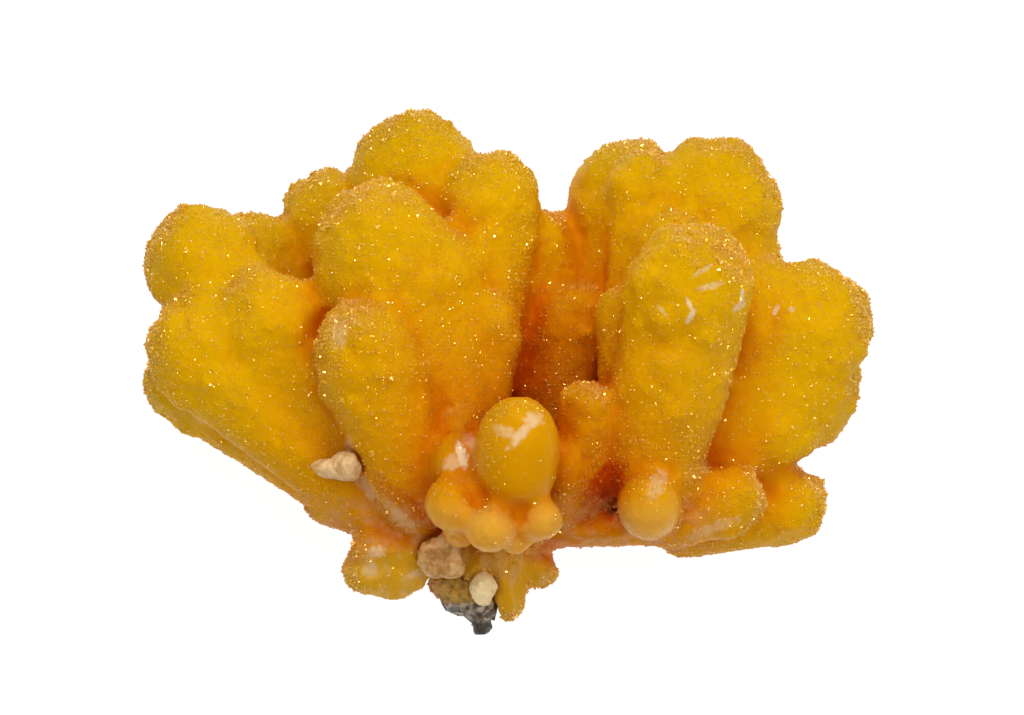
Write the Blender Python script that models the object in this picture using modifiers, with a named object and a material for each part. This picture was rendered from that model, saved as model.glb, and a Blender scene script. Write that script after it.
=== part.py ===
"""Mimetite specimen: a spray of club-shaped mimetite fingers on a scrap of dark matrix, with calcite.

It lies on its back. +Z is up, out of the face that is looked at; +Y runs from the root to the tips of
the tallest fingers, and +X to the right. The origin is on the resting surface under the middle of the
specimen. Every length below is in millimetres until the meshes are made.
"""

import math
import random

import bmesh
import bpy
from mathutils import Matrix, Vector

MM = 0.001

# Driving sizes
WIDTH = 48.0           # over the outermost fingers, along X
GAP = 0.3              # between a piece and the pocket that it sits in
SKIN_STEP = 0.34       # size of the cells that fuse the fingers to one skin
FACES_KEPT = 0.062     # share of the skin's faces that are kept
BLOB_STEP = 0.2        # the same two for the small pieces and their pockets
BLOB_FACES_KEPT = 0.115
HEAD_LENGTH = 0.62     # of a finger's head, as a share of the finger's width
LONGEST_HEAD = 0.6     # but no more than this share of the finger's length
LONGEST_FOOT = 0.3     # and the same for the rounding of its base
LUMP_RADIUS = 1.30     # the grape-like lumps on the heads
LUMP_SIZES = (0.75, 1.3)      # smallest and largest lump, beside that radius
LUMP_PROUD = 0.42      # how far a lump stands out of its finger
LUMP_STANDS = (0.2, 1.4)      # least and most that one stands out, beside that
LUMP_SPACING = 2.0
LUMPED_SHARE = 0.55    # of a finger's side that carries lumps
LUMP_HEIGHTS = (0.97, -0.18)  # where on a finger they start and end, with 1 at its tip and 0 under its head
LUMP_TURN = 0.3        # how far a lump may turn round the finger from its place on the spiral
GOLDEN_ANGLE = math.pi * (3 - math.sqrt(5))
CUTTER_DEPTH = 10.0    # of the block that trims what would reach under the resting surface
SEED = 7

# Each finger: base point, tip, width across, thickness, and how wide its base is beside its head.
# The back row is lowest; the front row stands nearest the viewer.
LEFT_FINGERS = {
    "far_left_upper": ((-8.0, -7.0, 9.0), (-22.4, 10.0, 9.0), 7.6, 6.2, 0.55),
    "far_left_behind": ((-6.5, -6.0, 7.0), (-18.5, 9.9, 6.4), 5.6, 5.4, 0.60),
    "left_front": ((-6.5, -9.0, 12.0), (-17.6, 6.0, 12.2), 6.8, 5.4, 0.60),
    "left_long": ((-6.5, -10.3, 12.0), (-22.7, 3.5, 11.6), 6.8, 5.0, 0.60),
    "left_between": ((-7.0, -8.0, 11.0), (-20.8, 5.4, 10.9), 6.2, 5.4, 0.60),
    "left_low": ((-7.0, -10.4, 10.0), (-23.2, 0.6, 6.6), 5.0, 4.8, 0.75),
    "left_small": ((-6.5, -3.0, 7.0), (-12.8, 12.9, 5.8), 6.6, 5.4, 0.55),
    "tall_left": ((-3.0, -5.0, 8.0), (-6.7, 17.0, 7.4), 8.3, 6.4, 0.50),
    "tall_middle": ((-2.4, -5.0, 9.5), (-0.8, 14.2, 10.0), 6.4, 6.0, 0.50),
    "tall_middle_foot": ((-1.8, -6.0, 11.0), (-1.1, 5.3, 12.0), 4.0, 4.0, 0.80),
    "broad_left": ((-3.4, -7.0, 12.0), (-9.6, 12.0, 13.6), 9.0, 6.6, 0.55),
    "broad_left_shoulder": ((-2.6, -6.0, 12.0), (-4.9, 9.4, 12.4), 5.6, 5.4, 0.75),
    "front_left": ((-5.0, -10.6, 13.0), (-10.3, 4.1, 16.8), 6.8, 5.6, 0.62),
    "front_left_bud": ((-3.2, -7.5, 13.0), (-3.3, -2.2, 14.6), 2.6, 2.6, 0.80),
}
RIGHT_FINGERS = {
    "notch_back": ((1.8, -4.0, 7.4), (2.3, 10.6, 7.4), 4.4, 4.6, 0.80),
    "hollow_dark": ((3.6, -7.0, 8.0), (4.3, 6.1, 8.4), 5.4, 4.4, 0.80),
    "tall_right_left": ((8.4, -5.0, 6.0), (7.9, 15.2, 7.0), 7.8, 6.2, 0.60),
    "tall_right": ((11.5, -6.0, 9.0), (13.9, 15.3, 8.6), 8.8, 6.6, 0.55),
    "tall_right_knob": ((8.0, 2.0, 10.0), (8.9, 14.3, 10.0), 4.0, 3.8, 0.80),
    "tall_right_ledge": ((8.5, -3.0, 11.0), (11.3, 10.5, 11.6), 5.2, 3.8, 0.80),
    "front_right": ((9.6, -7.0, 13.0), (12.5, 9.4, 16.6), 8.3, 6.4, 0.62),
    "front_right_foot": ((8.6, -9.0, 13.0), (11.7, 3.2, 15.8), 7.3, 6.0, 0.66),
    "right_slim": ((7.4, -6.0, 11.5), (7.7, 5.6, 12.2), 3.5, 3.8, 0.90),
    "right_broad": ((9.0, -8.0, 10.5), (22.6, 5.9, 9.6), 8.8, 6.4, 0.50),
    "right_broad_inner": ((9.0, -6.0, 10.0), (18.2, 7.0, 9.6), 7.0, 6.0, 0.60),
    "right_broad_low": ((8.5, -9.0, 10.0), (22.3, 1.0, 9.0), 7.4, 6.0, 0.55),
    "right_broad_foot": ((8.5, -9.5, 10.0), (19.8, -1.7, 9.6), 6.2, 5.6, 0.60),
    "right_bud": ((5.2, -9.5, 12.0), (5.3, -0.8, 15.2), 4.0, 4.0, 0.75),
    "low_right_upper": ((9.0, -10.0, 12.0), (11.8, -5.0, 14.6), 3.8, 3.8, 0.85),
    "low_right_face": ((9.3, -9.0, 12.0), (9.1, -8.5, 18.6), 4.4, 4.7, 0.80),
    "low_right_middle": ((9.0, -10.7, 12.0), (16.6, -7.4, 13.2), 4.2, 4.0, 0.75),
    "low_right_long": ((9.5, -10.8, 9.6), (20.8, -8.2, 8.4), 4.8, 4.6, 0.75),
}
FRONT_FINGERS = {
    "front_centre": ((0.3, -8.6, 17.8), (0.9, -1.6, 20.2), 5.8, 5.4, 0.90),
    "front_centre_stem": ((0.0, -10.0, 11.5), (0.5, -3.0, 18.0), 4.6, 4.6, 0.80),
    "front_centre_left": ((-2.3, -10.0, 14.0), (-3.7, -4.1, 17.2), 3.8, 4.2, 0.80),
    "front_centre_right": ((3.0, -10.4, 12.0), (3.9, -4.3, 15.6), 3.7, 3.8, 0.80),
}
ROOT_FINGERS = {
    "root_ridge": ((-4.0, -10.3, 10.5), (10.4, -10.2, 11.0), 2.6, 5.0, 1.00),
    "root_left": ((-3.0, -11.0, 11.0), (-13.3, -8.2, 10.4), 3.2, 4.4, 0.90),
    "base_left_upper": ((-4.4, -11.8, 11.5), (-10.3, -11.4, 12.6), 2.8, 3.6, 0.80),
    "base_left": ((-4.8, -13.0, 11.0), (-10.9, -13.1, 11.4), 3.4, 4.0, 0.80),
    "base_middle": ((-0.2, -11.6, 12.0), (0.3, -16.4, 12.3), 2.3, 2.8, 0.90),
}
BACK_FINGERS = {
    "back_left": ((-5.0, -7.0, 7.0), (-16.0, 2.6, 1.17), 7.0, 5.4, 0.60),
    "back_left_tall": ((-2.0, -6.0, 7.0), (-8.6, 9.0, 1.3), 7.0, 5.4, 0.60),
    "back_middle": ((0.0, -6.0, 7.0), (-0.6, 7.0, 1.1), 6.4, 5.0, 0.60),
    "back_right_tall": ((3.0, -6.0, 7.0), (10.4, 9.0, 1.25), 7.4, 5.4, 0.60),
    "back_right": ((5.0, -7.0, 7.0), (17.4, 2.0, 1.32), 7.0, 5.6, 0.60),
    "back_low_right": ((3.0, -8.0, 8.0), (14.6, -6.6, 0.8), 5.6, 5.2, 0.60),
    "back_low_left": ((-3.0, -9.0, 8.0), (-13.2, -4.6, 0.75), 5.6, 5.2, 0.60),
    "back_root": ((-0.5, -9.0, 9.5), (-1.6, -8.6, -0.3), 5.6, 5.0, 0.90),
}

# Round lumps that are no fingers: centre and radius
LUMPS = {
    "cluster_left": ((-3.6, -8.6, 18.2), 1.90),
    "cluster_left_low": ((-3.1, -10.3, 16.4), 1.30),
    "cluster_ball": ((-1.15, -10.2, 19.3), 1.70),
    "cluster_ball_right": ((2.15, -9.6, 18.3), 1.55),
    "cluster_ball_low": ((0.5, -10.9, 17.6), 1.10),
    "long_right_bump": ((11.9, -10.6, 9.4), 1.60),
    "base_left_bump": ((-7.4, -13.8, 11.0), 1.35),
    "base_right": ((2.2, -13.0, 12.0), 1.25),
    "base_white_seat": ((-1.9, -13.2, 12.0), 1.30),
    "root_core": ((0.0, -11.0, 11.2), 2.50),
    "root_core_left": ((-4.0, -11.6, 10.8), 2.20),
    "back_core": ((1.0, -7.6, 7.6), 3.20),
}
SMOOTH_FINGERS = set(FRONT_FINGERS) | set(ROOT_FINGERS) | {"back_root", "low_right_face"}

# Pieces of other minerals: the blobs that each is joined from, as centre and half sizes
MATRIX_BLOBS = (
    ((-4.0, -13.9, 11.2), (1.1, 0.8, 1.2)),
    ((-3.0, -14.6, 11.4), (1.2, 1.2, 1.5)),
    ((-1.7, -15.4, 11.6), (1.2, 0.9, 1.3)),
    ((-1.65, -16.6, 11.6), (0.55, 0.6, 0.6)),
)
WEDGE_BLOBS = (
    ((-11.6, -6.35, 14.9), (1.3, 0.55, 0.9)),
    ((-10.4, -6.2, 15.2), (0.85, 0.95, 1.0)),
)
KNOT_BLOBS = (
    ((-4.75, -12.2, 13.6), (1.0, 1.25, 1.0)),
    ((-3.75, -11.3, 14.0), (0.7, 0.9, 0.8)),
    ((-3.55, -12.7, 13.7), (0.75, 0.8, 0.8)),
)
TIP_BLOBS = (
    ((-1.55, -14.0, 13.5), (0.85, 0.85, 0.75)),
    ((-1.7, -14.9, 13.2), (0.6, 0.5, 0.6)),
)


def clear_scene():
    """Removes the objects that the scene starts with."""
    for obj in list(bpy.data.objects):
        bpy.data.objects.remove(obj)


def new_material(name, colour, roughness):
    """A Principled material of one colour."""
    material = bpy.data.materials.new(name)
    material.use_nodes = True
    shader = material.node_tree.nodes["Principled BSDF"]
    shader.inputs["Base Color"].default_value = (*colour, 1.0)
    shader.inputs["Roughness"].default_value = roughness
    shader.inputs["Metallic"].default_value = 0.0
    return material


def new_object(name, mesh, collection):
    """An object for the mesh, in the collection given."""
    obj = bpy.data.objects.new(name, mesh)
    collection.objects.link(obj)
    return obj


def finger_axes(base, tip):
    """Unit vectors along a finger, across its width and through its thickness."""
    along = (Vector(tip) - Vector(base)).normalized()
    facing = Vector((0, 0, 1)) if abs(along.z) < 0.9 else Vector((0, 1, 0))
    across = along.cross(facing).normalized()
    return along, across, along.cross(across)


def finger_point(finger, height, angle):
    """The point on a finger's skin at a height from -1, its base, to 1, its tip, and an angle round it.

    The finger widens from its base to its head, which is half an egg at the heights over 0.
    """
    base, tip, width, thickness, base_share = finger
    along, across, through = finger_axes(base, tip)
    length = (Vector(tip) - Vector(base)).length
    head = min(LONGEST_HEAD, HEAD_LENGTH * width / length)
    foot = min(LONGEST_FOOT, base_share * width / 2 / length)
    if height >= 0:
        share = 1 - head + head * height
        ring = math.sqrt(1 - height**2)
    else:
        share = (1 - head) * (1 + height)
        ring = base_share + (1 - base_share) * math.sin(share / (1 - head) * math.pi / 2)
        ring *= math.sqrt(1 - max(0.0, 1 - share / foot) ** 2)
    side = across * math.cos(angle) * width / 2 + through * math.sin(angle) * thickness / 2
    return Vector(base).lerp(Vector(tip), share) + side * ring


class Bodies:
    """Closed round bodies, in millimetres, gathered to one mesh. Each starts as an icosphere."""

    def __init__(self):
        self.points = []
        self.faces = []

    def add(self, subdivisions, place_point):
        """Adds a sphere whose points are moved by the function place_point."""
        ball = bmesh.new()
        bmesh.ops.create_icosphere(ball, subdivisions=subdivisions, radius=1)
        first = len(self.points)
        self.points.extend(place_point(vert.co) for vert in ball.verts)
        self.faces.extend([first + vert.index for vert in face.verts] for face in ball.faces)
        ball.free()

    def mesh(self, name):
        """The bodies as a mesh in metres."""
        mesh = bpy.data.meshes.new(name)
        mesh.from_pydata([point * MM for point in self.points], [], self.faces)
        return mesh


def add_finger(bodies, finger):
    """Adds a closed club: a sphere whose points are moved to the finger's skin."""

    def on_skin(point):
        height = max(-1.0, min(1.0, point.z))
        return finger_point(finger, height, math.atan2(point.y, point.x))

    bodies.add(4, on_skin)


def add_ball(bodies, centre, half_sizes):
    """Adds a closed round or oval body."""
    bodies.add(3, lambda point: Vector(centre) + Vector(p * h for p, h in zip(point, half_sizes)))


def add_head_lumps(bodies, finger, rng):
    """Adds the lumps that stand out of a finger's head, along a spiral down from its tip."""
    base, tip, width, thickness, _ = finger
    length = (Vector(tip) - Vector(base)).length
    middle = Vector(base).lerp(Vector(tip), 1 - HEAD_LENGTH * width / length)
    lumped_area = math.pi * (width + thickness) / 2 * length * LUMPED_SHARE
    count = int(lumped_area / LUMP_SPACING**2)
    first, last = LUMP_HEIGHTS
    for index in range(count):
        height = first + (last - first) * (index + 0.5) / count
        angle = index * GOLDEN_ANGLE + rng.uniform(-LUMP_TURN, LUMP_TURN)
        skin = finger_point(finger, height, angle)
        radius = LUMP_RADIUS * rng.uniform(*LUMP_SIZES)
        proud = LUMP_PROUD * rng.uniform(*LUMP_STANDS)
        add_ball(bodies, skin - (skin - middle).normalized() * (radius - proud), (radius,) * 3)


def fuse(obj, step, share_kept):
    """Fuses the overlapping bodies of a mesh to one skin, smooths it and thins its faces."""
    skin = obj.modifiers.new("fused skin", "REMESH")
    skin.mode = "VOXEL"
    skin.voxel_size = step * MM
    skin.use_smooth_shade = True
    soften = obj.modifiers.new("soften", "SMOOTH")
    soften.factor = 0.5
    soften.iterations = 1
    thin = obj.modifiers.new("fewer faces", "DECIMATE")
    thin.ratio = share_kept


def build_spray(collection):
    """The mimetite: all fingers and lumps grown together in one body."""
    rng = random.Random(SEED)
    bodies = Bodies()
    for group in (LEFT_FINGERS, RIGHT_FINGERS, FRONT_FINGERS, ROOT_FINGERS, BACK_FINGERS):
        for name, finger in group.items():
            add_finger(bodies, finger)
            if name not in SMOOTH_FINGERS:
                add_head_lumps(bodies, finger, rng)
    for centre, radius in LUMPS.values():
        add_ball(bodies, centre, (radius,) * 3)
    spray = new_object("mimetite_spray", bodies.mesh("mimetite_spray"), collection)
    fuse(spray, SKIN_STEP, FACES_KEPT)
    spray.data.materials.append(new_material("mimetite", (0.82, 0.47, 0.02), 0.35))
    return spray


def build_blob_piece(name, blobs, material, collection):
    """A small piece joined from oval blobs."""
    bodies = Bodies()
    for centre, half_sizes in blobs:
        add_ball(bodies, centre, half_sizes)
    piece = new_object(name, bodies.mesh(name), collection)
    fuse(piece, BLOB_STEP, BLOB_FACES_KEPT)
    piece.data.materials.append(material)
    return piece


def cut(target, cutter):
    """Takes the cutter's shape out of the target."""
    cutter.hide_render = True
    cutter.display_type = "WIRE"
    boolean = target.modifiers.new("cut " + cutter.name, "BOOLEAN")
    boolean.operation = "DIFFERENCE"
    boolean.object = cutter


def grown_copy(name, blobs, collection):
    """A cutter with the shape of a blob piece, larger by the gap all round."""
    bodies = Bodies()
    for centre, half_sizes in blobs:
        add_ball(bodies, centre, tuple(half + GAP for half in half_sizes))
    cutter = new_object(name + "_pocket", bodies.mesh(name + "_pocket"), collection)
    fuse(cutter, BLOB_STEP, BLOB_FACES_KEPT)
    return cutter


def resting_cutter(collection):
    """A block under the resting surface, which trims the lowest fingers flat."""
    bpy.ops.mesh.primitive_cube_add(size=1, location=(0, 0, -CUTTER_DEPTH / 2 * MM))
    block = bpy.context.active_object
    block.name = "under_surface"
    block.data.transform(Matrix.Diagonal((2 * WIDTH * MM, 2 * WIDTH * MM, CUTTER_DEPTH * MM, 1)))
    for owner in list(block.users_collection):
        owner.objects.unlink(block)
    collection.objects.link(block)
    return block


def main():
    clear_scene()
    specimen = bpy.data.collections.new("mimetite specimen")
    cutters = bpy.data.collections.new("cutters")
    bpy.context.scene.collection.children.link(specimen)
    bpy.context.scene.collection.children.link(cutters)
    matrix_rock = new_material("matrix", (0.09, 0.075, 0.06), 0.55)
    calcite = new_material("calcite", (0.86, 0.78, 0.66), 0.4)

    spray = build_spray(specimen)
    pieces = {
        "matrix_scrap": (MATRIX_BLOBS, matrix_rock),
        "calcite_wedge": (WEDGE_BLOBS, calcite),
        "calcite_knot": (KNOT_BLOBS, calcite),
        "calcite_tip": (TIP_BLOBS, calcite),
    }
    for name, (blobs, material) in pieces.items():
        build_blob_piece(name, blobs, material, specimen)
        cut(spray, grown_copy(name, blobs, cutters))
    cut(spray, resting_cutter(cutters))


main()
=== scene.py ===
import math

import bpy
import numpy as np
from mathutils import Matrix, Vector, noise
from mathutils.bvhtree import BVHTree
from mathutils.kdtree import KDTree


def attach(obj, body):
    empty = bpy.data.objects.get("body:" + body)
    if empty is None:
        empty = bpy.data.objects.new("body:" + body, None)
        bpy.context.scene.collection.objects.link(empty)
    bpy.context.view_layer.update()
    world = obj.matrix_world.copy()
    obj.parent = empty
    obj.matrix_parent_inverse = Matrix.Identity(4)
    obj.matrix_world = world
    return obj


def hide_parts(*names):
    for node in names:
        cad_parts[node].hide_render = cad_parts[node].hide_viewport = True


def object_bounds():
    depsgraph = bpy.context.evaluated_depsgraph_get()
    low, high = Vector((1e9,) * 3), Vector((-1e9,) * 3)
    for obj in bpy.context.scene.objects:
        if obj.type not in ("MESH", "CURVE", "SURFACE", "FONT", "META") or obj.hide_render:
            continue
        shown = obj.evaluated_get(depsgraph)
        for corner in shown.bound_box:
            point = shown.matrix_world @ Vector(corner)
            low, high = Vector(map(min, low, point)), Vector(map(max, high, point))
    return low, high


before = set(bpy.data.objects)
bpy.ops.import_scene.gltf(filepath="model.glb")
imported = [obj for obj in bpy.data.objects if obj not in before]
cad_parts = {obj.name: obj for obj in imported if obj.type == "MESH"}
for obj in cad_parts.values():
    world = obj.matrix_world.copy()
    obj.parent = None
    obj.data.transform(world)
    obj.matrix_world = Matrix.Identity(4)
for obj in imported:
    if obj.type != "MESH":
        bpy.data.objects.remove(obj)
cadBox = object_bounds()
mm = 0.001
print("frame loaded:", sorted(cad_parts))


# The camera looks straight down on the specimen, from far enough away to flatten it
camera = {
    "distance": 700 * mm,          # above the level of the finger heads
    "level": 9 * mm,
    "middle": (0.295 * mm, 0.884 * mm),
    "frameWidth": 67.07 * mm,      # that the picture spans at that level
    "sensor": 36.0,
}


def addCamera():
    data = bpy.data.cameras.new("camera")
    data.sensor_width = camera["sensor"]
    data.lens = camera["sensor"] * camera["distance"] / camera["frameWidth"]
    data.clip_start = 10 * mm
    eye = bpy.data.objects.new("camera", data)
    eye.location = (*camera["middle"], camera["level"] + camera["distance"])
    bpy.context.scene.collection.objects.link(eye)
    bpy.context.scene.camera = eye


def paint(red, green, blue):
    # A screen colour of 0 to 255 as the linear colour that a shader takes
    linear = []
    for value in (red, green, blue):
        share = value / 255
        linear.append(share / 12.92 if share <= 0.04045 else ((share + 0.055) / 1.055) ** 2.4)
    return (*linear, 1.0)


class Wire:
    # A node's output. Sums and products of wires add their Math nodes, so masks read as plain expressions
    def __init__(self, tree, socket=None):
        self.tree = tree
        self.socket = socket

    def node(self, kind, settings=None, sockets=None, output=0):
        made = self.tree.nodes.new(kind)
        for name, value in (settings or {}).items():
            if name == "stops":
                fillRamp(made.color_ramp, value)
            else:
                setattr(made, name, value)
        for key, value in (sockets or {}).items():
            if isinstance(value, Wire):
                self.tree.links.new(value.socket, made.inputs[key])
            else:
                made.inputs[key].default_value = value
        return Wire(self.tree, made.outputs[output])

    def math(self, operation, first, second=0.0, clamp=False):
        settings = {"operation": operation, "use_clamp": clamp}
        return self.node("ShaderNodeMath", settings, {0: first, 1: second})

    def __add__(self, other):
        return self.math("ADD", self, other)

    __radd__ = __add__

    def __sub__(self, other):
        return self.math("SUBTRACT", self, other)

    def __rsub__(self, other):
        return self.math("SUBTRACT", other, self)

    def __mul__(self, other):
        return self.math("MULTIPLY", self, other)

    __rmul__ = __mul__

    def __truediv__(self, other):
        return self.math("DIVIDE", self, other)

    def __pow__(self, other):
        return self.math("POWER", self, other)

    def clamped(self):
        return self.math("ADD", self, 0.0, clamp=True)

    def between(self, low, high):
        # 0 under low, 1 over high, and a smooth step from one to the other
        settings = {"interpolation_type": "SMOOTHSTEP"}
        return self.node("ShaderNodeMapRange", settings, {"Value": self, "From Min": low, "From Max": high})

    def highest(self, other):
        return self.math("MAXIMUM", self, other)

    def ramp(self, stops):
        return self.node("ShaderNodeValToRGB", {"stops": stops}, {"Fac": self})

    def mixed(self, low, high):
        # The colour low where this wire is 0, and high where it is 1
        return self.node("ShaderNodeMix", {"data_type": "RGBA"}, {0: self, 6: low, 7: high}, 2)

    def field(self, name):
        # A value kept on the mesh's own points
        return self.node("ShaderNodeAttribute", {"attribute_name": name}, output=2)

    def place(self):
        return self.node("ShaderNodeNewGeometry")

    def clouds(self, size, detail=2.0, where=None):
        # Soft noise with features of about the size given, in metres
        sockets = {"Vector": where or self.place(), "Scale": 1 / size, "Detail": detail}
        return self.node("ShaderNodeTexNoise", None, sockets)

    def cells(self, size, where, output=0):
        return self.node("ShaderNodeTexVoronoi", None, {"Vector": where, "Scale": 1 / size}, output)

    def vector(self, operation, first, second=(0.0, 0.0, 0.0), output=0):
        return self.node("ShaderNodeVectorMath", {"operation": operation}, {0: first, 1: second}, output)


def fillRamp(ramp, stops):
    while len(ramp.elements) < len(stops):
        ramp.elements.new(1.0)
    for element, (position, colour) in zip(ramp.elements, stops):
        element.position = position
        element.color = colour


def newMaterial(name):
    material = bpy.data.materials.new(name)
    material.use_nodes = True
    shader = material.node_tree.nodes["Principled BSDF"]
    return material, shader, Wire(material.node_tree)


def feed(shader, name, wire):
    shader.id_data.links.new(wire.socket, shader.inputs[name])


def addGlow(shader, weight, reach, scale):
    # Light that travels inside, in the quicker of Blender's two good ways
    shader.subsurface_method = "BURLEY"
    shader.inputs["Subsurface Weight"].default_value = weight
    shader.inputs["Subsurface Radius"].default_value = reach
    shader.inputs["Subsurface Scale"].default_value = scale


def facetTilt(wire, size, steepness):
    # Flat facets of the size given, each tilted its own way: the skin of small crystals that glitters
    where = wire.place()
    corner = wire.cells(size, where, output=2)
    turn = wire.vector("SUBTRACT", wire.cells(size, where, output=1), (0.5, 0.5, 0.5))
    away = wire.vector("SUBTRACT", where, corner)
    rise = wire.vector("DOT_PRODUCT", away, turn, output=1)
    return rise * steepness


# Mimetite. Tips are yellow and thick roots orange to red; deep places are orange to red too, as painted shade
mimetiteColours = {
    # deepest and deep are reached mostly in shut-in and creased places, as painted shade
    "deepest": paint(182, 58, 0),
    "deep": paint(196, 84, 0),
    "root": paint(208, 118, 0),
    "middle": paint(221, 148, 0),
    "tip": paint(229, 176, 0),
    "green": paint(208, 166, 0),
    "bloom": paint(244, 222, 190),
    "crust": paint(216, 150, 94),
    "dust": paint(230, 178, 92),              # on the ends of the heads
    # paler middles of the open waxy balls: partly their own colour, partly a painted highlight
    "creamAndHighlight": paint(240, 190, 92),             # in the middles of the small waxy balls
    "baseDeep": paint(222, 170, 30),          # the greenish lumps under the root
    # pale streaks on the lumps: partly their own colour, partly painted glints
    "basePaleAndGlint": paint(228, 188, 104),
}

# The tone that picks a colour runs from 0, deepest, to 1, a tip, and this is what each thing adds to it.
# Openness and creases paint shade into it: shut-in and creased places get a darker, redder tone
mimetiteToneAndShade = {
    "least": -0.115,
    # openness and crease are painted shade: less open and creased places get a darker, redder tone
    "openness": 0.66,
    "reach": 0.52,
    "drift": 0.08,
    "driftSize": 6 * mm,
    "waxy": 0.01,
    "crease": 0.16,                           # taken off
    "waxyCrease": 0.08,                       # less of that between waxy balls
    "stops": {"deepest": 0.10, "deep": 0.30, "root": 0.52, "middle": 0.72, "tip": 0.95},
}

# What lies over the tone: the most of it, its clouds' size and detail, and the ranges over which it comes in
mimetiteCover = {
    "creamAndHighlight": {"most": 0.4, "down": (7.8, 9.6), "openness": (0.5, 0.85)},
    "green": {"most": 0.5, "reach": (0.72, 1.0)},
    "base": {"most": 0.85, "clouds": (0.7 * mm, 4.0), "range": (0.46, 0.7), "stretch": (1.0, 0.3, 1.0)},
    "crust": {"most": 0.7, "clouds": (0.9 * mm, 5.0), "range": (0.38, 0.66)},
    "dust": {"most": 0.65, "clouds": (0.6 * mm, 4.0), "range": (0.4, 0.6), "tip": (0.62, 0.98)},
}


def mimetiteColour(wire, spots):
    # Colour over the skin, from how open a place is, how deep in a crease and how far from the root. The
    # first two, with the deep spots, paint shade into the colour
    reach = wire.field("reach")
    waxy = wire.field("waxy")
    openness = wire.field("openness")
    colours, adds, cover = mimetiteColours, mimetiteToneAndShade, mimetiteCover
    drift = wire.clouds(adds["driftSize"]) - 0.5
    # Painted shade: the tone falls where the skin is shut in, in creases and in the deep spots
    tone = openness * adds["openness"] + reach * adds["reach"] + adds["least"]
    tone = tone + drift * adds["drift"] + waxy * adds["waxy"]
    tone = tone - wire.field("crease") * (adds["crease"] - waxy * adds["waxyCrease"])
    tone = tone - spotMask(wire, spots["deep"])
    colour = tone.clamped().ramp([(position, colours[name]) for name, position in adds["stops"].items()])
    down = wire.vector("DOT_PRODUCT", wire.place(), (0.0, -1 / mm, 0.0), output=1)
    # Where waxy balls are open and out of creases they turn paler: partly their own colour, partly a painted
    # highlight
    creamAndHighlight = waxy * down.between(*cover["creamAndHighlight"]["down"]) * openness.between(*cover["creamAndHighlight"]["openness"])
    creamAndHighlight = creamAndHighlight * (1 - wire.field("crease"))
    colour = (creamAndHighlight * cover["creamAndHighlight"]["most"]).mixed(colour, colours["creamAndHighlight"])
    green = reach.between(*cover["green"]["reach"]) * wire.field("low")
    colour = (green * cover["green"]["most"]).mixed(colour, colours["green"])
    stretched = wire.vector("MULTIPLY", wire.place(), cover["base"]["stretch"])
    # pale streaks along the lumps: partly their own colour, partly painted glints
    streaks = wire.clouds(*cover["base"]["clouds"], stretched).between(*cover["base"]["range"])
    lumps = streaks.mixed(colours["baseDeep"], colours["basePaleAndGlint"])
    colour = (wire.field("base") * cover["base"]["most"]).mixed(colour, lumps)
    crust = wire.clouds(*cover["crust"]["clouds"]).between(*cover["crust"]["range"]) * wire.field("crust")
    colour = (crust * cover["crust"]["most"]).mixed(colour, colours["crust"])
    dust = wire.clouds(*cover["dust"]["clouds"]).between(*cover["dust"]["range"])
    dust = dust * wire.field("tip").between(*cover["dust"]["tip"])
    colour = (dust * cover["dust"]["most"]).mixed(colour, colours["dust"])
    return spotMask(wire, spots["bloom"]).mixed(colour, colours["bloom"])


# White flecks and streaks, and pale edges, which are only colour. Each has a middle (x, y), a half length
# and half width, all in mm, a turn in degrees, and a strength
bloomSpots = {
    "centre fleck": ((-2.95, -5.4), 0.85, 0.32, -75, 0.95),
    "centre fleck side": ((-3.6, -5.9), 0.6, 0.45, 30, 0.5),
    "centre fleck top": ((-2.4, -4.6), 0.55, 0.4, -50, 0.4),
    "centre streak": ((1.0, -3.9), 1.35, 0.3, 50, 0.65),
    "centre streak end": ((1.7, -3.1), 0.6, 0.45, 10, 0.6),
    "centre crust": ((-0.1, -3.9), 0.8, 0.35, -15, 0.4),
    "front right upper": ((11.7, 4.4), 0.45, 0.16, -65, 0.9),
    "front right lower": ((11.8, 3.5), 0.45, 0.18, 60, 0.9),
    "front right edge": ((15.2, 4.9), 0.45, 0.14, 85, 0.95),
    "front right edge low": ((15.0, 4.2), 0.45, 0.2, 40, 0.8),
    "front right streak": ((13.1, 5.5), 0.75, 0.2, 15, 0.6),
    "front right top": ((12.6, 6.5), 0.8, 0.13, 30, 0.45),
    "front right left": ((10.0, 3.9), 0.45, 0.13, -50, 0.4),
    "right fleck": ((17.5, 4.0), 0.35, 0.15, 60, 0.7),
    "right fleck low": ((18.5, 4.0), 0.2, 0.15, 0, 0.5),
    "front left head": ((-10.9, 2.4), 0.9, 0.5, 80, 0.35),
    "low ball patch": ((9.7, -7.3), 1.0, 0.5, 65, 0.35),
    "front left foot top": ((-10.3, -5.2), 1.1, 0.3, 85, 0.35),
    "front left foot": ((-9.3, -7.4), 1.3, 0.35, -50, 0.4),
    "front left foot low": ((-7.0, -9.5), 1.5, 0.4, -45, 0.35),
    "low finger edge": ((13.4, -10.2), 1.8, 0.35, 20, 0.35),
    "base left": ((-8.6, -11.8), 0.6, 0.35, 30, 0.6),
    "base left low": ((-9.0, -12.9), 0.5, 0.5, 0, 0.45),
    "base left edge": ((-6.0, -13.3), 0.6, 0.3, 20, 0.5),
}


# Places that lie deep between fingers, in the same values, painted darker as painted shade. Their strength is
# taken off the tone
paintedShadeSpots = {
    "right crevice": ((6.4, -7.4), 2.0, 0.9, 58, 0.42),
    "notch finger": ((2.7, 1.9), 4.2, 2.0, 80, 0.14),
    "left crevice": ((-12.6, 6.6), 1.9, 0.7, -75, 0.1),
    "low left groove": ((-6.6, -8.6), 3.2, 0.6, -40, 0.2),
}

spotEdge = {
    "clouds": (0.4 * mm, 5.0),                # size and detail
    "raggedness": 4.5,
    "range": (2.0, -0.2),                     # from bare to full
    "depth": 2.5,                             # how far a spot reaches into the piece at least, in mm
    "depthShare": 1.6,                        # and beside its half length
}


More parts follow.
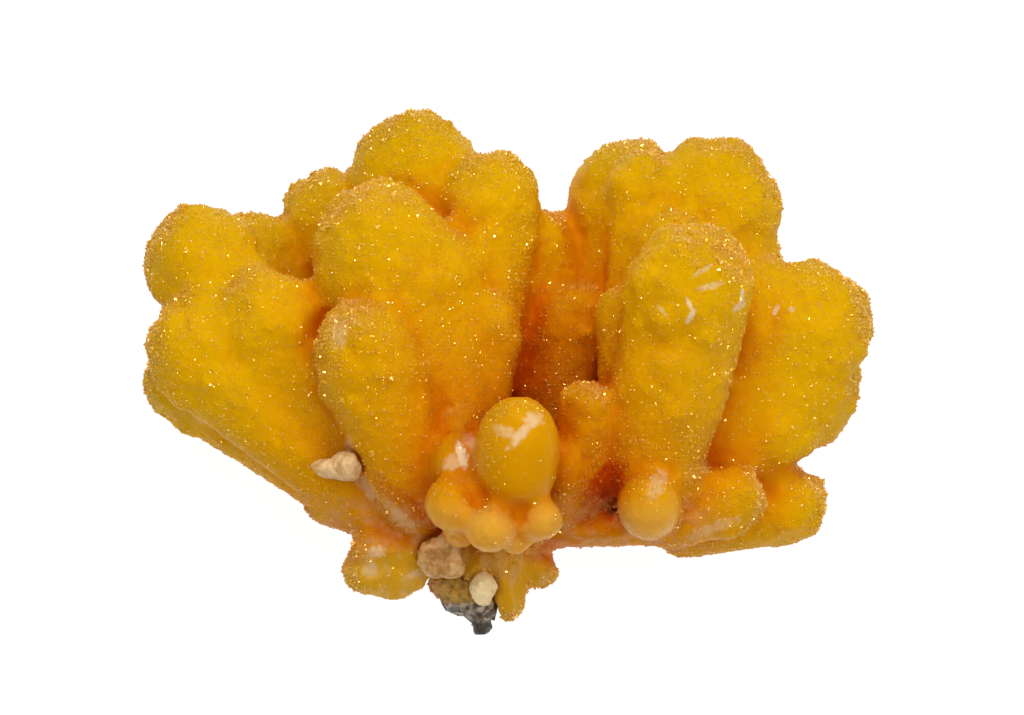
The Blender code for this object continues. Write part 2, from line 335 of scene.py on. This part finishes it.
def spotMask(wire, spots):
    where = wire.place()
    ragged = (wire.clouds(*spotEdge["clouds"], where) - 0.5) * spotEdge["raggedness"]
    mask = None
    for middle, halfLength, halfWidth, turn, strength in spots:
        along = (math.cos(math.radians(turn)), math.sin(math.radians(turn)), 0.0)
        across = (-along[1], along[0], 0.0)
        away = wire.vector("SUBTRACT", where, tuple(middle))
        far = wire.vector("DOT_PRODUCT", away, along, output=1) / (halfLength * mm)
        wide = wire.vector("DOT_PRODUCT", away, across, output=1) / (halfWidth * mm)
        depth = max(spotEdge["depth"], spotEdge["depthShare"] * halfLength)
        deep = wire.vector("LENGTH", away, output=1) / (depth * mm)
        spot = (far * far + wide * wide + deep ** 4 + ragged).between(*spotEdge["range"]) * strength
        mask = spot if mask is None else mask.highest(spot)
    return mask


mimetiteFinish = {
    "glow": 0.65,                             # share of light that travels inside
    "glowReach": (1.0, 0.42, 0.06),           # of red, green and blue light
    "glowScale": 1.2 * mm,
    "roughness": 0.5,
    "waxyRoughness": 0.3,
    "shine": 0.2,
    "shineColour": paint(255, 198, 90),
    "rim": 0.06,
    "rimColour": paint(255, 180, 60),
    "rimRoughness": 0.3,
    "facet": 0.2 * mm,
    "steepness": 0.1,
    "tipSteepness": 0.3,
    "waxySmoothness": 0.8,
}


def mimetiteMaterial(spots):
    material, shader, wire = newMaterial("mimetite")
    finish = mimetiteFinish
    feed(shader, "Base Color", mimetiteColour(wire, spots))
    waxy = wire.field("waxy")
    feed(shader, "Roughness", finish["roughness"] - waxy * (finish["roughness"] - finish["waxyRoughness"]))
    addGlow(shader, finish["glow"], finish["glowReach"], finish["glowScale"])
    shader.inputs["Specular IOR Level"].default_value = finish["shine"]
    shader.inputs["Specular Tint"].default_value = finish["shineColour"]
    shader.inputs["Sheen Weight"].default_value = finish["rim"]
    shader.inputs["Sheen Roughness"].default_value = finish["rimRoughness"]
    shader.inputs["Sheen Tint"].default_value = finish["rimColour"]
    steepness = wire.field("tip") * finish["tipSteepness"] + finish["steepness"]
    rise = facetTilt(wire, finish["facet"], steepness * (1 - waxy * finish["waxySmoothness"]))
    bump = wire.node("ShaderNodeBump", None, {"Height": rise, "Distance": 1.0, "Strength": 1.0})
    feed(shader, "Normal", bump)
    return material


def druseMaterial(spots):
    material, shader, wire = newMaterial("mimetite crystals")
    colour = mimetiteColour(wire, spots)
    pale = wire.field("pale")
    # pale mixes painted light on every crystal with the real paleness of a few
    feed(shader, "Base Color", pale.mixed(colour, mimetiteDruse["paleColour"]))
    shader.inputs["Roughness"].default_value = mimetiteDruse["roughness"]
    shader.inputs["IOR"].default_value = mimetiteDruse["ior"]
    shader.inputs["Specular Tint"].default_value = mimetiteDruse["glintColour"]
    return material


# The skin of the spray: the solid's form, rounded, with fuller heads, deeper creases, lumps and a grain
skin = {
    "cell": 0.27 * mm,
    "subdivisions": 2,
    "rounding": 3,
    "inset": 0.08 * mm,
    "fullness": 0.32,              # how far heads swell and creases sink, beside the form evened out
    "fullnessPasses": 30,
    "creasePasses": 6,
    "waxyFullness": 0.4,           # how much less waxy balls swell
    "waxyCreases": 0.6,            # how much sharper the creases between them are
    "waxySmoothness": 0.7,         # share of the lumps and grains that they lack
    "baseSmoothness": 0.5,         # and that the lumps under the root lack
    "lumpSpacing": 1.2 * mm,
    "lumpHeight": (0.08 * mm, 0.24 * mm),     # on the sides and at the tips
    "lumpTips": (0.4, 0.85),       # how far a place faces outward where it counts as side and as tip
    "level": 0.6,                  # of a lump's height, where the smooth skin would be
    "grainSpacing": 0.62 * mm,
    "grainHeight": 0.07 * mm,
    "roughness": 0.02 * mm,
    "unevenness": 0.2,             # how far points move along the skin, beside the cell
    "seed": 11,
    "root": Vector((0.0, -11.0, 11.0)) * mm,  # that all fingers grow from
    "reach": 27 * mm,
}

# Places where the mimetite is smooth and waxy: middle and radius, in mm
waxyPlaces = {
    "front cluster": ((-0.3, -6.8, 19.0), 6.8),
    "low right ball": ((9.2, -8.4, 16.8), 3.0),
}
waxyEdge = 0.75                    # share of the radius that is waxy all through

# Where the other fields of the skin run from none to all, in mm or as shares
skinPlaces = {
    "baseMiddle": (-3.8, -15.4),   # of the greenish lumps under the root
    "baseHalf": (9.4, 4.0),
    "baseEdge": (0.85, 1.1),       # of those half sizes
    "crustLevel": -10.6,
    "crustHeight": (1.2, 3.2),
    "crustWidth": (11.0, 15.0),
    "low": (9.0, 14.0),
    "crease": (0.0, 0.07),
}


def smoothStep(values, low, high):
    share = np.clip((values - low) / (high - low), 0.0, 1.0)
    return share * share * (3 - 2 * share)


def meshArrays(mesh):
    mesh.calc_loop_triangles()
    points = np.empty(len(mesh.vertices) * 3)
    mesh.vertices.foreach_get("co", points)
    triangles = np.empty(len(mesh.loop_triangles) * 3, dtype=np.int64)
    mesh.loop_triangles.foreach_get("vertices", triangles)
    return points.reshape(-1, 3), triangles.reshape(-1, 3)


def outwardNormals(points, triangles):
    a, b, c = (points[triangles[:, corner]] for corner in range(3))
    faceNormals = np.cross(b - a, c - a)
    normals = np.zeros_like(points)
    for corner in range(3):
        np.add.at(normals, triangles[:, corner], faceNormals)
    return normals / np.maximum(np.linalg.norm(normals, axis=1), 1e-12)[:, None]


def treeOf(points):
    tree = KDTree(len(points))
    for index, point in enumerate(points):
        tree.insert(point, index)
    tree.balance()
    return tree


def spacedOut(points, spacing, rng):
    # Indices of points that keep at least the spacing from each other
    tree = treeOf(points)
    free = np.ones(len(points), dtype=bool)
    kept = []
    for index in rng.permutation(len(points)):
        if not free[index]:
            continue
        kept.append(index)
        for _, near, _ in tree.find_range(points[index], spacing):
            free[near] = False
    return np.array(kept)


def lumpHeights(points, spacing, rng):
    # Rounded lumps that meet in creases: 1 on top of each, 0 in the deepest crease
    closest, reach = spacing * 0.8, spacing * 0.72
    tops = spacedOut(points, closest, rng)
    tree = treeOf(points[tops])
    away = np.array([tree.find(point)[2] for point in points])
    return np.clip(1 - (away / reach) ** 2, 0.0, 1.0)


def reshaped(node, name, cell, rounding, subdivisions=1):
    # A finer, rounded copy of a solid, as points and triangles
    obj = bpy.data.objects.new(name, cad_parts[node].data.copy())
    bpy.context.scene.collection.objects.link(obj)
    joined = obj.modifiers.new("joined faces", "WELD")
    joined.merge_threshold = 0.001 * mm
    even = obj.modifiers.new("even form", "SUBSURF")
    even.levels = subdivisions
    fine = obj.modifiers.new("fine skin", "REMESH")
    fine.mode = "VOXEL"
    fine.voxel_size = cell
    soft = obj.modifiers.new("rounding", "SMOOTH")
    soft.factor = 0.5
    soft.iterations = rounding
    split = obj.modifiers.new("triangles", "TRIANGULATE")
    split.quad_method = "SHORTEST_DIAGONAL"
    mesh = bpy.data.meshes.new_from_object(obj.evaluated_get(bpy.context.evaluated_depsgraph_get()))
    bpy.data.objects.remove(obj)
    points, triangles = meshArrays(mesh)
    bpy.data.meshes.remove(mesh)
    return points, triangles


def insideBox(points):
    return np.clip(points, np.array(cadBox[0]), np.array(cadBox[1]))


def newPiece(name, points, triangles, material, fields=None):
    mesh = bpy.data.meshes.new(name)
    mesh.vertices.add(len(points))
    mesh.vertices.foreach_set("co", insideBox(points).ravel())
    mesh.loops.add(triangles.size)
    mesh.loops.foreach_set("vertex_index", triangles.ravel().astype(np.int32))
    mesh.polygons.add(len(triangles))
    mesh.polygons.foreach_set("loop_start", np.arange(0, triangles.size, 3, dtype=np.int32))
    for fieldName, values in (fields or {}).items():
        field = mesh.attributes.new(fieldName, "FLOAT", "POINT")
        field.data.foreach_set("value", values.astype(np.float32))
    mesh.update(calc_edges=True)
    mesh.validate()
    mesh.materials.append(material)
    piece = bpy.data.objects.new(name, mesh)
    bpy.context.scene.collection.objects.link(piece)
    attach(piece, "root")
    return piece


def edgesOf(triangles):
    pairs = np.concatenate([triangles[:, [0, 1]], triangles[:, [1, 2]], triangles[:, [2, 0]]])
    return np.unique(np.sort(pairs, axis=1), axis=0)


def evened(values, edges, passes):
    # Values over the mesh, in each pass moved halfway to the mean of their neighbours
    first, second = edges.T
    length = len(values)
    count = np.bincount(edges.ravel(), minlength=length)
    columns = values.reshape(length, -1).copy()
    for _ in range(passes):
        for column in columns.T:
            total = np.bincount(first, column[second], length) + np.bincount(second, column[first], length)
            column += 0.5 * (total / count - column)
    return columns.reshape(values.shape)


skyRays = {
    "count": 14,
    "length": 9 * mm,
    "start": 0.15 * mm,            # above the skin
    "lift": 1.02,                  # adds more of the skin's own direction than of a random one
    "passes": 3,                   # that even out the result
    "seed": 5,
}


def opennessOf(points, triangles, normals, edges):
    # Share of the directions over each point in which nothing stands near
    tree = BVHTree.FromPolygons(points.tolist(), triangles.tolist())
    rng = np.random.default_rng(skyRays["seed"])
    rays = rng.normal(size=(len(points), skyRays["count"], 3))
    rays /= np.linalg.norm(rays, axis=2)[:, :, None]
    rays = rays + normals[:, None, :] * skyRays["lift"]
    rays /= np.linalg.norm(rays, axis=2)[:, :, None]
    starts = points + normals * skyRays["start"]
    reach = skyRays["length"]
    openness = np.empty(len(points))
    for index, start in enumerate(starts.tolist()):
        free = 0.0
        for ray in rays[index].tolist():
            hit = tree.ray_cast(start, ray, reach)
            free += 1.0 if hit[3] is None else hit[3] / reach
        openness[index] = free / skyRays["count"]
    return evened(openness, edges, skyRays["passes"])


def waxyOf(points):
    waxy = np.zeros(len(points))
    for middle, radius in waxyPlaces.values():
        away = np.linalg.norm(points / mm - np.array(middle), axis=1)
        waxy = np.maximum(waxy, 1 - smoothStep(away, radius * waxyEdge, radius))
    return waxy


def skinFields(points, triangles, normals, edges, waxy):
    local = points / mm
    openness = opennessOf(points, triangles, normals, edges)
    hollow = np.sum((evened(points, edges, skin["creasePasses"]) - points) * normals, axis=1) / mm
    outward = points - np.array(skin["root"])
    reach = np.linalg.norm(outward, axis=1)
    tip = np.sum(normals * outward, axis=1) / reach
    reach = reach / skin["reach"]
    away = (local[:, :2] - skinPlaces["baseMiddle"]) / skinPlaces["baseHalf"]
    base = 1 - smoothStep(np.hypot(away[:, 0], away[:, 1]), *skinPlaces["baseEdge"])
    crust = 1 - smoothStep(np.abs(local[:, 1] - skinPlaces["crustLevel"]), *skinPlaces["crustHeight"])
    crust *= 1 - smoothStep(np.abs(local[:, 0]), *skinPlaces["crustWidth"])
    low = 1 - smoothStep(local[:, 2], *skinPlaces["low"])
    return {
        "openness": openness,
        "reach": np.clip(reach, 0.0, 1.0),
        "waxy": waxy,
        "base": base,
        "crust": crust * (1 - base) * (1 - waxy),
        "low": low,
        "tip": np.clip(tip, 0.0, 1.0) * (1 - waxy),
        "crease": smoothStep(hollow, *skinPlaces["crease"]),
    }


def buildSkin(spots):
    rng = np.random.default_rng(skin["seed"])
    points, triangles = reshaped("mimetite_spray", "spray form", skin["cell"], skin["rounding"],
                                 skin["subdivisions"])
    edges = edgesOf(triangles)
    waxy = waxyOf(points)
    fullness = skin["fullness"] * (1 - skin["waxyFullness"] * waxy[:, None])
    points = points + fullness * (points - evened(points, edges, skin["fullnessPasses"]))
    sharper = skin["waxyCreases"] * waxy[:, None]
    points = points + sharper * (points - evened(points, edges, skin["creasePasses"]))
    normals = outwardNormals(points, triangles)
    fields = skinFields(points, triangles, normals, edges, waxy)
    rugged = 1 - np.maximum(skin["waxySmoothness"] * waxy, skin["baseSmoothness"] * fields["base"])
    lumps = lumpHeights(points, skin["lumpSpacing"], rng)
    grains = lumpHeights(points, skin["grainSpacing"], rng)
    low, high = skin["lumpHeight"]
    lumpHeight = low + (high - low) * smoothStep(fields["tip"], *skin["lumpTips"])
    rise = lumpHeight * (lumps - skin["level"]) + skin["grainHeight"] * (grains - skin["level"])
    rise = rise * rugged + rng.normal(size=len(points)) * skin["roughness"] * rugged - skin["inset"]
    most = skin["unevenness"]
    jitter = rng.uniform(-most, most, size=points.shape) * skin["cell"] * rugged[:, None]
    jitter -= normals * np.sum(jitter * normals, axis=1)[:, None]
    points = points + normals * rise[:, None] + jitter
    piece = newPiece("spray_skin", points, triangles, mimetiteMaterial(spots), fields)
    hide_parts("mimetite_spray")
    print("spray skin:", len(triangles), "triangles")
    return points, triangles, fields


# The small crystals that stand out of the skin
mimetiteDruse = {
    "size": 0.09 * mm,               # half of a crystal's usual width
    "share": 1.35,                   # multiplies each point's chance to carry one
    # every crystal is lifted towards the pale colour: painted light that stands in for the glow inside the
    # skin
    "paintedLightPaleness": 0.25,                # of every crystal
    "paleShare": 0.03,               # of the crystals that are paler
    "paleColour": paint(255, 204, 100),
    "glintColour": paint(255, 226, 150),
    "roughness": 0.09,
    "ior": 2.1,
    "flatness": (0.3, 0.7),          # a crystal's height beside its width, on the sides and at the tips
    "lean": (0.25, 0.5),             # how far crystals lean out of the skin's own direction, likewise
    "tips": (0.45, 0.9),             # how far a place faces outward where it counts as side and as tip
    "sizeSpread": 0.28,
    "tipSize": 0.35,                 # how much larger crystals are at the tips
    "lift": (-0.2, 0.15),            # of a crystal's middle over the skin, beside its size
    "stretch": (0.7, 1.3),
    "extraPaleness": (0.2, 0.6),     # of the paler crystals
    "seed": 23,
    # each up to this X, in mm
    "regions": {"druse_left": -11.0, "druse_mid_left": -1.0, "druse_mid_right": 8.0, "druse_right": math.inf},
}

# How likely each point of the skin carries a crystal, before that share
crystalChance = {
    "sides": 0.34,
    "tips": 1.0,                     # added there
    "patches": 0.9,                  # added in the middles of patches
    "patchSize": 2.5,                # in mm
    "topSide": (0.1, 0.7),           # how far a place faces the tips where it counts as a top side
    "bareWaxy": 0.85,                # share that waxy places lack
    "topWaxy": 0.6,                  # and that their top sides have again
    "patchWaxy": 0.5,                # and patches on them
    "patchEdge": (0.1, 0.4),
    "bareBase": 0.5,
    "bareCrease": 0.8,
}

# Corners and sides of one crystal: a low pyramid whose base is sunk in the skin
crystalForm = (
    np.array([(1, 0, -0.6), (0, 1, -0.6), (-1, 0, -0.6), (0, -1, -0.6), (0, 0, 1.35)], dtype=float),
    np.array([(0, 1, 4), (1, 2, 4), (2, 3, 4), (3, 0, 4), (0, 2, 1), (0, 3, 2)]),
)


def fromSideToTip(key, tip):
    low, high = mimetiteDruse[key]
    return low + (high - low) * tip


def standing(normals, lean, rng):
    # Rotations that stand each crystal on the skin, leaning and turned at random
    up = normals + rng.normal(size=normals.shape) * lean[:, None]
    up /= np.linalg.norm(up, axis=1)[:, None]
    side = np.cross(up, rng.normal(size=normals.shape))
    side /= np.linalg.norm(side, axis=1)[:, None]
    return np.stack([side, np.cross(up, side), up], axis=2)


def buildDruse(points, triangles, fields, spots):
    rng = np.random.default_rng(mimetiteDruse["seed"])
    normals = outwardNormals(points, triangles)
    tip = smoothStep(fields["tip"], *mimetiteDruse["tips"])
    odds = crystalChance
    patches = np.array([noise.noise(Vector(point)) for point in points / mm / odds["patchSize"]])
    chance = odds["sides"] + odds["tips"] * tip + odds["patches"] * np.clip(patches, 0.0, 1.0)
    topSide = smoothStep(normals[:, 1], *odds["topSide"])
    bare = fields["waxy"] * (odds["bareWaxy"] - odds["topWaxy"] * topSide)
    bare = bare * (1 - odds["patchWaxy"] * smoothStep(patches, *odds["patchEdge"]))
    bare = np.maximum(bare, odds["bareBase"] * fields["base"])
    chance = chance * mimetiteDruse["share"] * (1 - bare) * (1 - odds["bareCrease"] * fields["crease"])
    chosen = np.flatnonzero(rng.random(len(points)) < chance)
    tip = tip[chosen]
    count = len(chosen)
    corners, sides = crystalForm
    sizes = mimetiteDruse["size"] * np.exp(rng.normal(0.0, mimetiteDruse["sizeSpread"], size=count))
    sizes = sizes * (1 + mimetiteDruse["tipSize"] * tip)
    lift = sizes * rng.uniform(*mimetiteDruse["lift"], size=count)
    middles = points[chosen] + normals[chosen] * lift[:, None]
    stretch = rng.uniform(*mimetiteDruse["stretch"], size=(count, 1, 3))
    stretched = corners[None, :, :] * sizes[:, None, None] * stretch
    stretched[:, :, 2] *= fromSideToTip("flatness", tip)[:, None]
    turns = standing(normals[chosen], fromSideToTip("lean", tip), rng)
    crystals = np.einsum("nij,nkj->nki", turns, stretched) + middles[:, None, :]
    pale = rng.random(count) < mimetiteDruse["paleShare"]
    # painted light on every crystal, and the real paleness of the few paler ones
    pale = pale * rng.uniform(*mimetiteDruse["extraPaleness"], size=count) + mimetiteDruse["paintedLightPaleness"]
    material = druseMaterial(spots)
    start = -math.inf
    for name, end in mimetiteDruse["regions"].items():
        here = np.flatnonzero((middles[:, 0] / mm >= start) & (middles[:, 0] / mm < end))
        start = end
        own = {key: np.repeat(values[chosen][here], len(corners)) for key, values in fields.items()}
        own["pale"] = np.repeat(pale[here], len(corners))
        faces = (sides[None, :, :] + np.arange(len(here))[:, None, None] * len(corners)).reshape(-1, 3)
        piece = newPiece(name, crystals[here].reshape(-1, 3), faces, material, own)
        piece.data.shade_flat()
        print(name + ":", len(faces), "triangles")


# The scrap of rock at the root
matrixRock = {
    "cell": 0.11 * mm,
    "grow": 0.16 * mm,
    "blockSize": 0.6 * mm,
    "steepness": 0.8,
    "cuts": 12,
    "cutDepth": 0.07,
    "brown": paint(206, 146, 66),
    "olive": paint(200, 158, 62),
    "grey": paint(96, 86, 78),
    # pale grey patches: partly the rock's own lighter grey, partly painted glints
    "paleGreyAndGlint": paint(192, 178, 162),
    "black": paint(62, 58, 54),
    "darkBrown": paint(96, 66, 30),
    "stain": 0.5,
    "rounding": 4,
    "seed": 3,
    "edgeClouds": (0.6 * mm, 4.0),   # size and detail
    "edgeHeight": 0.8,
    # where one colour gives way to the next, in mm along X or Y
    "oliveFrom": (-4.6, -4.0),
    "metalBelow": (-14.9, -15.3),
    "blackBelow": (-16.1, -16.5),
    # clouds of a size and detail, and the range over which they come in
    "metalClouds": ((0.45 * mm, 5.0), (0.42, 0.6)),
    "stainClouds": ((0.5 * mm, 5.0), (0.5, 0.62)),
    "glintClouds": ((0.35 * mm, 4.0), (0.58, 0.66)),
    "roughness": (0.6, 0.3),         # highest, and how far it falls
    "roughClouds": (0.3 * mm, 3.0),
    "shine": 0.6,
    "facet": 0.16 * mm,
    "facetSteepness": 0.7,
}


def cloudsOf(wire, values, where):
    (size, detail), (low, high) = values
    return wire.clouds(size, detail, where).between(low, high)


def matrixMaterial():
    material, shader, wire = newMaterial("matrix rock")
    rock = matrixRock
    where = wire.place()
    elsewhere = wire.vector("ADD", where, (0.3, 0.1, 0.2))   # so that glints miss the stains' pattern
    across = wire.node("ShaderNodeSeparateXYZ", None, {0: where}, 0)
    along = wire.node("ShaderNodeSeparateXYZ", None, {0: where}, 1)
    ragged = wire.clouds(*rock["edgeClouds"], where) - 0.5
    along = along / mm + ragged * rock["edgeHeight"]
    rocky = along.between(*rock["metalBelow"])
    colour = (across / mm + ragged).between(*rock["oliveFrom"]).mixed(rock["brown"], rock["olive"])
    # pale grey patches on the grey rock: partly its own colour, partly painted glints
    metal = cloudsOf(wire, rock["metalClouds"], where).mixed(rock["grey"], rock["paleGreyAndGlint"])
    colour = rocky.mixed(colour, metal)
    colour = along.between(*rock["blackBelow"]).mixed(colour, rock["black"])
    stainColour = rocky.mixed(rock["darkBrown"], rock["black"])
    stain = cloudsOf(wire, rock["stainClouds"], where) * rock["stain"]
    feed(shader, "Base Color", stain.mixed(colour, stainColour))
    feed(shader, "Metallic", cloudsOf(wire, rock["glintClouds"], elsewhere) * rocky)
    highest, fall = rock["roughness"]
    feed(shader, "Roughness", highest - wire.clouds(*rock["roughClouds"], where) * fall)
    shader.inputs["Specular IOR Level"].default_value = rock["shine"]
    rise = facetTilt(wire, rock["facet"], rock["facetSteepness"])
    feed(shader, "Normal", wire.node("ShaderNodeBump", None, {"Height": rise, "Distance": 1.0}))
    return material


def cleaved(points, cuts, depth, seed):
    # Flat faces, cut all round a form
    rng = np.random.default_rng(seed)
    middle = points.mean(axis=0)
    for _ in range(cuts):
        across = rng.normal(size=3)
        across /= np.linalg.norm(across)
        height = (points - middle) @ across
        over = np.maximum(height - height.max() * (1 - depth), 0.0)
        points = points - over[:, None] * across
    return points


def facetRise(points, size, steepness):
    # Flat blocks of the size given, each tilted its own way, as heights over a form
    apart = 9.7                      # so that neighbouring blocks get different tilts
    rise = np.empty(len(points))
    for index, point in enumerate((points / size).tolist()):
        middle = noise.voronoi(Vector(point))[1][0]
        tilt = noise.cell_vector(middle * apart) - Vector((0.5, 0.5, 0.5))
        rise[index] = (Vector(point) - middle).dot(tilt)
    return rise * size * steepness


def buildMatrix():
    rock = matrixRock
    points, triangles = reshaped("matrix_scrap", "matrix form", rock["cell"], rock["rounding"])
    normals = outwardNormals(points, triangles)
    rise = rock["grow"] + facetRise(points, rock["blockSize"], rock["steepness"])
    points = cleaved(points + normals * rise[:, None], rock["cuts"], rock["cutDepth"], rock["seed"])
    piece = newPiece("matrix_rock", points, triangles, matrixMaterial())
    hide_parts("matrix_scrap")
    print("matrix rock:", len(triangles), "triangles")


# The pale calcite: a wedge on the left, a knot over the root and a small tip beside the rock
calcite = {
    "cell": 0.1 * mm,
    "grow": 0.16 * mm,
    "blockSize": 0.45 * mm,
    "steepness": 0.6,
    "cuts": 16,
    # each node's piece, the depth of its flat faces beside its size, and its two colours
    "pieces": {
        "calcite_wedge": ("wedge_crystals", 0.13, paint(228, 194, 146), paint(204, 160, 98)),
        "calcite_knot": ("knot_crystals", 0.05, paint(232, 190, 130), paint(170, 112, 24)),
        "calcite_tip": ("tip_crystals", 0.12, paint(255, 234, 186), paint(220, 182, 96)),
    },
    "rounding": 4,
    "seed": 8,
    "heartMiddle": (-4.55, -12.45),  # of the brownish heart of the knot, in mm
    "heartReach": 1.1,
    "heartEdge": (1.05, 0.7),
    "heartShare": (0.55, 0.45),      # least, and more in clouds
    "edgeClouds": (0.5 * mm, 4.0),   # size and detail
    # clouds of a size and detail, and the range over which they come in
    "heartClouds": ((0.3 * mm, 3.0), (0.4, 0.6)),
    "stainClouds": ((0.8 * mm, 4.0), (0.5, 0.66)),
    "stain": 0.8,
    "glow": 0.6,
    "glowReach": (1.0, 0.7, 0.4),
    "glowScale": 0.5 * mm,
    "roughness": 0.4,
    "facet": 0.2 * mm,
    "facetSteepness": 0.6,
}


def calciteMaterial(name, light, dark):
    material, shader, wire = newMaterial(name)
    where = wire.place()
    (middleX, middleY), reach = calcite["heartMiddle"], calcite["heartReach"] * mm
    away = wire.vector("SUBTRACT", where, (middleX * mm, middleY * mm, 0.0))
    away = wire.vector("LENGTH", wire.vector("MULTIPLY", away, (1.0, 1.0, 0.0)), output=1)
    ragged = wire.clouds(*calcite["edgeClouds"], where) - 0.5
    least, more = calcite["heartShare"]
    heart = cloudsOf(wire, calcite["heartClouds"], where) * more + least
    heart = heart * (away / reach + ragged).between(*calcite["heartEdge"])
    stain = cloudsOf(wire, calcite["stainClouds"], where).highest(heart) * calcite["stain"]
    feed(shader, "Base Color", stain.mixed(light, dark))
    addGlow(shader, calcite["glow"], calcite["glowReach"], calcite["glowScale"])
    shader.inputs["Roughness"].default_value = calcite["roughness"]
    rise = facetTilt(wire, calcite["facet"], calcite["facetSteepness"])
    feed(shader, "Normal", wire.node("ShaderNodeBump", None, {"Height": rise, "Distance": 1.0}))
    return material


def buildCalcite():
    for node, (name, cutDepth, light, dark) in calcite["pieces"].items():
        points, triangles = reshaped(node, name, calcite["cell"], calcite["rounding"])
        normals = outwardNormals(points, triangles)
        rise = calcite["grow"] + facetRise(points, calcite["blockSize"], calcite["steepness"])
        points = cleaved(points + normals * rise[:, None], calcite["cuts"], cutDepth, calcite["seed"])
        piece = newPiece(name, points, triangles, calciteMaterial(name, light, dark))
        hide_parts(node)
        print(name + ":", len(triangles), "triangles")


# The floor is plain and nearly white, and lit evenly by the lights around
floor = {
    "half": 600 * mm,
    "below": 0.02 * mm,
    "colour": (0.15, 0.15, 0.15, 1.0),
    "light": 0.95,
    "roughness": 0.9,
}


def buildFloor():
    size, depth = floor["half"], -floor["below"]
    mesh = bpy.data.meshes.new("floor")
    corners = [(-size, -size, depth), (size, -size, depth), (size, size, depth), (-size, size, depth)]
    mesh.from_pydata(corners, [], [(0, 1, 2, 3)])
    material, shader, _ = newMaterial("floor")
    shader.inputs["Base Color"].default_value = floor["colour"]
    shader.inputs["Roughness"].default_value = floor["roughness"]
    shader.inputs["Specular IOR Level"].default_value = 0.0
    shader.inputs["Emission Color"].default_value = (1.0, 1.0, 1.0, 1.0)
    shader.inputs["Emission Strength"].default_value = floor["light"]
    mesh.materials.append(material)
    plate = bpy.data.objects.new("floor", mesh)
    bpy.context.scene.collection.objects.link(plate)


# Wide soft lights shape the fingers, the strongest from beyond the tips
studio = {
    "soft tips": {"place": (20, 450, 350), "size": 240, "power": 1.0},
    "soft right": {"place": (340, 40, 420), "size": 240, "power": 0.44},
    "soft root": {"place": (-40, -380, 380), "size": 240, "power": 0.15},
}
lampColour = (1.0, 0.93, 0.8)
# Rings of small lamps make the crystals glitter. Each has its angle from straight above, the number of
# lamps, and the turn of the first
glitterRings = {
    "distance": 600,
    "size": 36,
    "power": 0.07,
    "towardsTips": 0.35,           # how much stronger the lamps beyond the tips are than those at the sides
    "rings": ((12, 4, 20), (27, 8, 10), (43, 12, 30), (60, 12, 5)),
}
surroundings = {"colour": (1.0, 0.85, 0.62, 1.0), "light": 0.12}


def addLamp(name, place, size, power):
    data = bpy.data.lights.new(name, "AREA")
    data.shape = "DISK"
    data.size = size * mm
    data.energy = power
    data.color = lampColour
    lamp = bpy.data.objects.new(name, data)
    lamp.location = Vector(place) * mm
    lamp.rotation_euler = (-lamp.location).to_track_quat("-Z", "Y").to_euler()
    bpy.context.scene.collection.objects.link(lamp)


def addLights():
    for name, light in studio.items():
        addLamp(name, light["place"], light["size"], light["power"])
    for tilt, count, first in glitterRings["rings"]:
        for index in range(count):
            turn = math.radians(first + 360 * index / count)
            out = glitterRings["distance"] * math.sin(math.radians(tilt))
            up = glitterRings["distance"] * math.cos(math.radians(tilt))
            place = (out * math.cos(turn), out * math.sin(turn), up)
            power = glitterRings["power"] * (1 + glitterRings["towardsTips"] * math.sin(turn))
            addLamp(f"glitter {tilt} {index}", place, glitterRings["size"], power)
    world = bpy.data.worlds.new("studio")
    world.use_nodes = True
    world.node_tree.nodes["Background"].inputs["Color"].default_value = surroundings["colour"]
    world.node_tree.nodes["Background"].inputs["Strength"].default_value = surroundings["light"]
    bpy.context.scene.world = world
    bpy.context.scene.view_settings.view_transform = "Standard"


def setOnSkin(spots):
    # Each spot's middle, set on the solid's skin under it
    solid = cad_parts["mimetite_spray"]
    tree = BVHTree.FromObject(solid, bpy.context.evaluated_depsgraph_get())
    placed = []
    for (x, y), halfLength, halfWidth, turn, strength in spots.values():
        hit = tree.ray_cast(Vector((x * mm, y * mm, 1.0)), Vector((0, 0, -1)))
        if hit[0] is not None:
            placed.append((hit[0], halfLength, halfWidth, turn, strength))
    return placed


addCamera()
addLights()
buildFloor()
print("camera, lights and floor placed")
# the deep spots paint shade into the skin's colour
spots = {"bloom": setOnSkin(bloomSpots), "deep": setOnSkin(paintedShadeSpots)}
points, triangles, fields = buildSkin(spots)
buildDruse(points, triangles, fields, spots)
buildMatrix()
buildCalcite()
